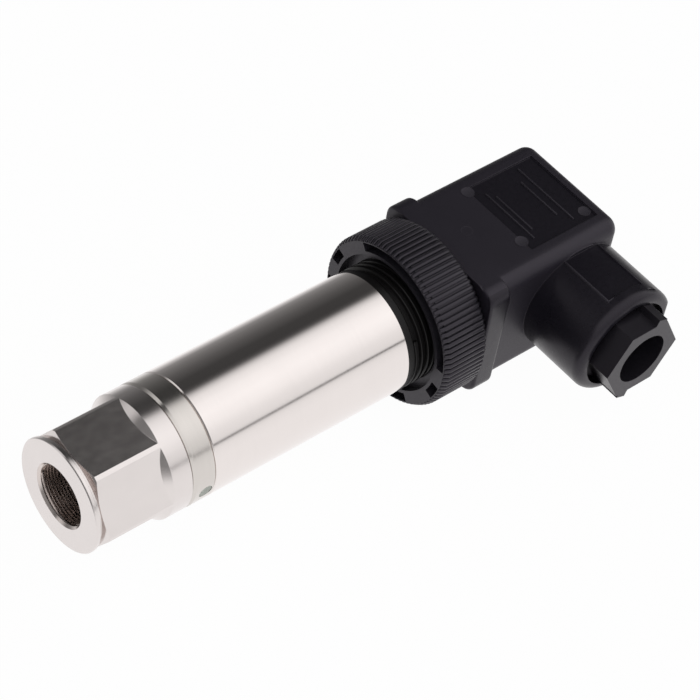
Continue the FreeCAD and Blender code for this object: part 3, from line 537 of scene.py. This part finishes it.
def make_neck():
    """The neck with its outside thread cut between a plain collar and the end."""
    crest, root, start = 12.45, 11.85, 72.7
    neck = copy_node("threaded_neck", "neck_core")
    for station in (start, start + 0.5):
        open_mesh(neck)
        bpy.ops.mesh.bisect(plane_co=(station * MM, 0.0, 0.0), plane_no=AXIS)
        close_mesh()

    def on_thread(place):
        return math.hypot(place.y, place.z) > 11.92 * MM and place.x > (start + 0.3) * MM

    def to_root(place):
        share = root * MM / math.hypot(place.y, place.z)
        return Vector((place.x, place.y * share, place.z * share))

    slide_points(neck, on_thread, to_root)
    ridge = outline("neck_ridge", [(start, root - 0.1), (start + 0.30, crest - 0.08), (start + 0.42, crest),
                                   (start + 1.04, crest), (start + 1.16, crest - 0.08), (start + 1.46, root - 0.1)])
    turn_round(ridge, 72, 5, 1.5)
    ridge.rotation_euler.x = math.radians(150.0)
    settle(ridge)
    piece = join("neck_with_thread", neck, ridge)
    smooth(piece, 25.0)
    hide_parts("threaded_neck")
    return dress(piece, neck_black, "base")


# ---- ring nut ----

def make_ring_nut():
    """The ring nut with its pockets and a crown of rounded ribs that run out over its lip."""
    low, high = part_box("union_nut")
    start, end = low.x / MM, high.x / MM
    nut = copy_node("union_nut", "nut_core")

    def on_rim(place):
        return math.hypot(place.y, place.z) > 16.8 * MM

    def to_root(place):
        radius = math.hypot(place.y, place.z)
        share = 1.0 - (0.55 if radius > 17.4 * MM else 0.3) * MM / radius
        return Vector((place.x, place.y * share, place.z * share))

    slide_points(nut, on_rim, to_root)
    rib = outline("rib", [(start + 0.04, 16.6), (start + 0.04, 17.10), (start + 1.10, 17.66), (end - 0.95, 17.68),
                          (end - 0.02, 16.98), (end - 0.02, 16.4)])
    width = 0.86 * MM
    open_mesh(rib)
    bpy.ops.mesh.edge_face_add()
    bpy.ops.transform.translate(value=(0.0, 0.0, -width / 2))
    bpy.ops.mesh.extrude_region_move(TRANSFORM_OT_translate={"value": (0.0, 0.0, width)})
    close_mesh()
    face_outwards(rib)
    round_edges(rib, 0.27, 2, 60.0)
    open_mesh(rib)
    bpy.ops.mesh.spin(steps=93, dupli=True, angle=2 * math.pi, center=(0.0, 0.0, 0.0), axis=AXIS)
    close_mesh()
    piece = join("ribbed_nut", nut, rib)
    smooth(piece, 50.0)
    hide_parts("union_nut")
    return dress(piece, nut_black, "union_nut")


# ---- gland nut ----

def make_gland_nut():
    """The gland nut with its hexagon running further into the arm's recess."""
    shoulder, further_in = -29.25, -27.9
    piece = copy_node("gland_nut", "rounded_gland_nut")
    slide_points(piece, lambda place: abs(place.y - shoulder * MM) < 0.03 * MM,
                 lambda place: Vector((place.x, further_in * MM, place.z)))
    smooth(piece, 30.0)
    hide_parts("gland_nut")
    return dress(piece, gland_black, "gland_nut")


# ---- plug housing ----

def make_housing():
    """The housing with broad flange corners, a deep recess round the gland, and a polished panel and cable arm whose
    darker black is painted shade.
    """
    piece = copy_node("plug_housing", "moulded_housing")
    front, back, half, radius = 87.3, 92.45, 15.4, 3.6
    inner = half - radius

    def in_flange(face):
        return all(front * MM < piece.data.vertices[number].co.x < (back + 0.2) * MM for number in face.vertices)

    for axis, places in (((1.0, 0.0, 0.0), (88.9, 90.2)), ((0.0, 1.0, 0.0), (-inner, inner)),
                         ((0.0, 0.0, 1.0), (-inner, inner))):
        for station in places:
            pick(piece, in_flange, "FACE")
            bpy.ops.mesh.bisect(plane_co=[station * MM * part for part in axis], plane_no=axis)
            close_mesh()

    def past_corner(place):
        return (front * MM < place.x < back * MM + 0.1 * MM and abs(place.y) > inner * MM and abs(place.z) > inner * MM
                and math.hypot(abs(place.y) - inner * MM, abs(place.z) - inner * MM) > 2.6 * MM)

    def round_corner(place):
        aside, up, behind = abs(place.y) / MM - inner, abs(place.z) / MM - inner, place.x / MM - front - 0.1
        edge = 0.7 - math.sqrt(max(0.0, 0.49 - (0.7 - behind) ** 2)) if behind < 0.7 else 0.0
        slope = 1.2 * max(0.0, 1.0 - behind / 2.8) ** 2 * min(1.0, 2.0 * min(aside, up) / radius)
        share = min(1.0, (radius - edge - slope) / math.hypot(aside, up))
        return Vector((place.x, math.copysign((inner + aside * share) * MM, place.y),
                       math.copysign((inner + up * share) * MM, place.z)))

    slide_points(piece, past_corner, round_corner)
    # The arm's mouth: its rim is rounded more broadly, but not beside the flat end of the box,
    # where the wall round the recess is thin.
    arm, tip, arm_radius, small, wider = 111.9, 29.7, 12.0, 1.3, 0.8
    rim_starts, rim_grows_over = 28.0, 40.0
    floor, deeper_floor = -28.3, -27.3
    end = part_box("plug_housing")[1].x / MM

    def on_rim(place):
        reach = math.hypot(place.x / MM - arm, place.z / MM)
        return (place.y < -(tip - small - 0.02) * MM and reach > arm_radius - small - 0.02
                and place.x < (end - 0.02) * MM)

    def wider_rim(place):
        aside, up = place.x / MM - arm, place.z / MM
        reach = math.hypot(aside, up)
        turn = math.degrees(math.acos(max(-1.0, min(1.0, aside / reach))))
        grown = 1.0 + wider / small * min(1.0, max(0.0, (turn - rim_starts) / rim_grows_over))
        depth = tip - small * grown + (-place.y / MM - tip + small) * grown
        share = (arm_radius - (arm_radius - reach) * grown) / reach
        return Vector(((arm + aside * share) * MM, -depth * MM, up * share * MM))

    slide_points(piece, on_rim, wider_rim)
    slide_points(piece, lambda place: abs(place.y - floor * MM) < 0.03 * MM,
                 lambda place: Vector((place.x, deeper_floor * MM, place.z)))
    smooth(piece, 30.0)
    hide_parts("plug_housing")
    dress(piece, housing_black, "plug")
    # The panel and the cable arm take a smoother black whose darker colour and lower specular level are painted shade.
    piece.data.materials.append(polished_black_with_painted_shade)
    for face in piece.data.polygons:
        if face.center.y < -13.9 * MM or (face.normal.z > 0.9 and abs(face.center.z - 13.4 * MM) < 0.05 * MM):
            face.material_index = 1
    return piece


# ---- relief on the plug ----

def bead(name, start, end, level, width=0.40, height=0.30):
    """A raised line between two places on a face that looks up, narrow and rounded along its top."""
    (x_from, y_from), (x_to, y_to) = start, end
    middle = ((x_from + x_to) / 2 * MM, (y_from + y_to) / 2 * MM, (level + height / 2 - 0.1) * MM)
    reach = ((abs(x_to - x_from) + width) * MM, (abs(y_to - y_from) + width) * MM, (height + 0.2) * MM)
    bpy.ops.object.select_all(action="DESELECT")
    bpy.ops.mesh.primitive_cube_add(size=1.0, location=middle, scale=reach)
    line = bpy.context.active_object
    line.name = name
    settle(line)
    pick(line, lambda vertex: vertex.co.z > level * MM)
    narrow = [1 - 0.45 * width * MM / side for side in reach[:2]]
    bpy.ops.transform.resize(value=(*narrow, 1.0), center_override=middle)
    close_mesh()
    round_edges(line, 0.07, 2)
    return line


def ejector_mark(name, x, y, level, depth=0.12, radius=1.3):
    """The low round boss with a raised rim that a moulding pin leaves."""
    bpy.ops.object.select_all(action="DESELECT")
    bpy.ops.mesh.primitive_cylinder_add(vertices=40, radius=radius * MM, depth=depth * MM,
                                        location=(x * MM, y * MM, (level + 0.09 - depth / 2) * MM))
    disc = bpy.context.active_object
    disc.name = name
    settle(disc)
    pick(disc, lambda face: face.normal.z > 0.9, "FACE")
    bpy.ops.mesh.inset(thickness=0.16 * MM)
    bpy.ops.transform.translate(value=(0.0, 0.0, -0.06 * MM))
    close_mesh()
    round_edges(disc, 0.03, 2)
    return disc


def make_panel_relief():
    """Two pairs of raised lines and the round moulding marks on the panel."""
    panel, top = 13.4, 13.8
    parts = [bead("bead_1", (105.0, 6.5), (105.0, -7.3), panel), bead("bead_2", (106.3, 4.9), (106.3, -5.3), panel),
             bead("bead_3", (115.1, 8.3), (115.1, -7.6), panel), bead("bead_4", (113.1, 5.2), (113.1, -5.0), panel),
             ejector_mark("mark_1", 118.4, -7.3, panel), ejector_mark("mark_2", 102.1, -6.9, top, 0.55, 1.35),
             ejector_mark("mark_3", 102.1, 8.7, top, 0.55, 1.35),
             ejector_mark("mark_4", 95.0, 0.9, top - 0.05, 0.3, 1.2)]
    piece = join("panel_relief", *parts)
    smooth(piece, 40.0)
    return dress(piece, matt_black, "plug")


def make_arm_relief():
    """The raised lines along both sides and the mouth end of the cable arm's flat."""
    flat, left, right, end = 11.2, 107.5, 116.35, -26.3
    parts = [bead("flat_edge_1", (left, -14.2), (left, end), flat - 0.08, 0.46, 0.42),
             bead("flat_edge_2", (right, -14.2), (right, end), flat - 0.08, 0.30, 0.26),
             bead("flat_edge_3", (left, end), (left + 1.6, end), flat - 0.08, 0.34, 0.50)]
    piece = join("arm_relief", *parts)
    smooth(piece, 40.0)
    return dress(piece, matt_black, "plug")


set_camera()
light_the_room()
lay_floor()
make_port_thread()
make_port_body()
make_collar()
make_neck()
make_ring_nut()
make_gland_nut()
make_housing()
make_panel_relief()
make_arm_relief()

scene = bpy.context.scene
scene.view_settings.view_transform = "Standard"
